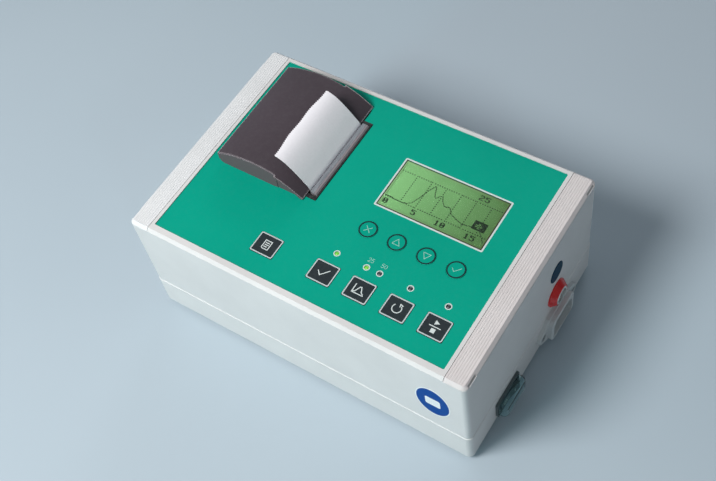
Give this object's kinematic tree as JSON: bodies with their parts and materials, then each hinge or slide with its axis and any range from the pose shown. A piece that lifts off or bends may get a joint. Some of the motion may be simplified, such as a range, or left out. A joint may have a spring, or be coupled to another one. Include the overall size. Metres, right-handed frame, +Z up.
{
  "type": "uroflowmeter",
  "caption": "Desktop urine flow recorder: light case with keypad foil, display, panel printer under a bulged hood, mains inlet, switch and sensor socket.",
  "frame": {"origin": "bottom centre of the whole, in the plane that the rubber feet rest on", "axes": "+X to the right along the front towards the connector side, +Y from the keys to the back, +Z up"},
  "size_m": [0.2474, 0.16, 0.1182],
  "materials": {
    "case_plastic": "fine spark-eroded texture",
    "black_plastic": "moulded, fine grain",
    "grey_plastic": "moulded, fine grain",
    "hood_plastic": "moulded, fine grain",
    "key_plastic": "satin film with pale border and sign",
    "round_key_plastic": "satin film with dark ring and sign",
    "foil": "fine-textured printed polyester",
    "display_window": "polished",
    "display_glass": "liquid crystal block, yellow-green",
    "sheet_steel": "zinc plated",
    "steel": "turned or stamped",
    "nickel": "nickel plated",
    "brass": "turned",
    "rubber": "matt",
    "circuit_board": "solder mask",
    "component_black": "moulded",
    "lamp": "clear tinted resin",
    "paper": "smooth coated",
    "core_board": "wound",
    "gear_plastic": "moulded acetal",
    "ceramic": "glazed",
    "bar_plastic": "moulded, fine grain",
    "red_plastic": "moulded",
    "blue_plastic": "moulded",
    "clear_soft_plastic": "soft clear moulding"
  },
  "bodies": {
    "case": {"lower_shell": "case_plastic", "upper_shell": "case_plastic", "case_gasket": "rubber", "left_cover_strip": "case_plastic", "right_cover_strip": "case_plastic", "case_screws": "steel", "screw_inserts": "brass", "rubber_feet": "rubber", "front_foil": "foil", "lcd_window": "display_window", "lcd_panel": "display_glass", "lcd_frame": "sheet_steel", "lcd_board": "circuit_board", "status_leds": "lamp", "keypad_board": "circuit_board", "tact_switches": "component_black", "printer_frame": "black_plastic", "cover_hinge_pin": "steel", "paper_web": "paper", "roll_spindle": "gear_plastic", "feed_motor": "sheet_steel", "thermal_head": "ceramic", "tear_blade": "steel", "blade_holder": "bar_plastic", "inlet_body": "grey_plastic", "inlet_pins": "nickel", "inlet_screws": "steel", "switch_frame": "black_plastic", "switch_splash_cover": "clear_soft_plastic", "socket_barrel": "nickel", "socket_collar": "red_plastic", "socket_insert": "black_plastic", "socket_nut": "nickel", "blanking_plug": "blue_plastic", "main_board": "circuit_board", "board_chips": "component_black", "supply_board": "circuit_board", "transformer": "sheet_steel", "supply_parts": "component_black", "board_screws": "steel"},
    "hood": {"printer_cover": "hood_plastic", "paper_strip": "paper"},
    "roll": {"paper_roll": "paper", "roll_core": "core_board"},
    "platen": {"platen_roller": "rubber", "platen_shaft": "steel", "platen_gear": "gear_plastic"},
    "idler": {"idler_gear": "gear_plastic"},
    "pinion": {"motor_pinion": "brass"},
    "rocker": {"switch_rocker": "black_plastic"},
    "print_key_body": {"print_key": "key_plastic"},
    "ready_key_body": {"ready_key": "key_plastic"},
    "flow_key_body": {"flow_key": "key_plastic"},
    "auto_key_body": {"auto_key": "key_plastic"},
    "start_key_body": {"start_key": "key_plastic"},
    "escape_key_body": {"escape_key": "round_key_plastic"},
    "up_key_body": {"up_key": "round_key_plastic"},
    "down_key_body": {"down_key": "round_key_plastic"},
    "confirm_key_body": {"confirm_key": "round_key_plastic"}
  },
  "joints": [
    {"name": "print_press", "type": "slide", "parent": "case", "child": "print_key_body", "axis": [0, 0, -1], "range_m": [0, 0.0004], "stiffness_N_per_m": 800, "springref_m": -0.0004},
    {"name": "ready_press", "type": "slide", "parent": "case", "child": "ready_key_body", "axis": [0, 0, -1], "range_m": [0, 0.0004], "stiffness_N_per_m": 800, "springref_m": -0.0004},
    {"name": "flow_press", "type": "slide", "parent": "case", "child": "flow_key_body", "axis": [0, 0, -1], "range_m": [0, 0.0004], "stiffness_N_per_m": 800, "springref_m": -0.0004},
    {"name": "auto_press", "type": "slide", "parent": "case", "child": "auto_key_body", "axis": [0, 0, -1], "range_m": [0, 0.0004], "stiffness_N_per_m": 800, "springref_m": -0.0004},
    {"name": "start_press", "type": "slide", "parent": "case", "child": "start_key_body", "axis": [0, 0, -1], "range_m": [0, 0.0004], "stiffness_N_per_m": 800, "springref_m": -0.0004},
    {"name": "escape_press", "type": "slide", "parent": "case", "child": "escape_key_body", "axis": [0, 0, -1], "range_m": [0, 0.0004], "stiffness_N_per_m": 800, "springref_m": -0.0004},
    {"name": "up_press", "type": "slide", "parent": "case", "child": "up_key_body", "axis": [0, 0, -1], "range_m": [0, 0.0004], "stiffness_N_per_m": 800, "springref_m": -0.0004},
    {"name": "down_press", "type": "slide", "parent": "case", "child": "down_key_body", "axis": [0, 0, -1], "range_m": [0, 0.0004], "stiffness_N_per_m": 800, "springref_m": -0.0004},
    {"name": "confirm_press", "type": "slide", "parent": "case", "child": "confirm_key_body", "axis": [0, 0, -1], "range_m": [0, 0.0004], "stiffness_N_per_m": 800, "springref_m": -0.0004},
    {"name": "hood_hinge", "type": "hinge", "parent": "case", "child": "hood", "pos_m": [-0.0947, 0.02545, 0.1004], "axis": [0, -1, 0], "range_deg": [0, 85]},
    {"name": "power_rocker", "type": "hinge", "parent": "case", "child": "rocker", "pos_m": [0.1163, -0.0362, 0.0157], "axis": [0, 0, 1], "range_deg": [0, 14]},
    {"name": "paper_roll_spin", "type": "hinge", "parent": "case", "child": "roll", "pos_m": [-0.0667, 0.0216, 0.0864], "axis": [0, 1, 0], "continuous": true},
    {"name": "platen_spin", "type": "hinge", "parent": "case", "child": "platen", "pos_m": [-0.0393, 0.0216, 0.0859], "axis": [0, 1, 0], "continuous": true},
    {"name": "idler_spin", "type": "hinge", "parent": "case", "child": "idler", "pos_m": [-0.04241, 0.057, 0.07431], "axis": [0, 1, 0], "continuous": true},
    {"name": "pinion_spin", "type": "hinge", "parent": "case", "child": "pinion", "pos_m": [-0.03969, 0.057, 0.06417], "axis": [0, 1, 0], "continuous": true}
  ],
  "couplings": [
    {"joint": "platen_spin", "follows": "paper_roll_spin", "ratio": 3.8},
    {"joint": "idler_spin", "follows": "paper_roll_spin", "ratio": -2.28},
    {"joint": "pinion_spin", "follows": "paper_roll_spin", "ratio": 5.7}
  ]
}
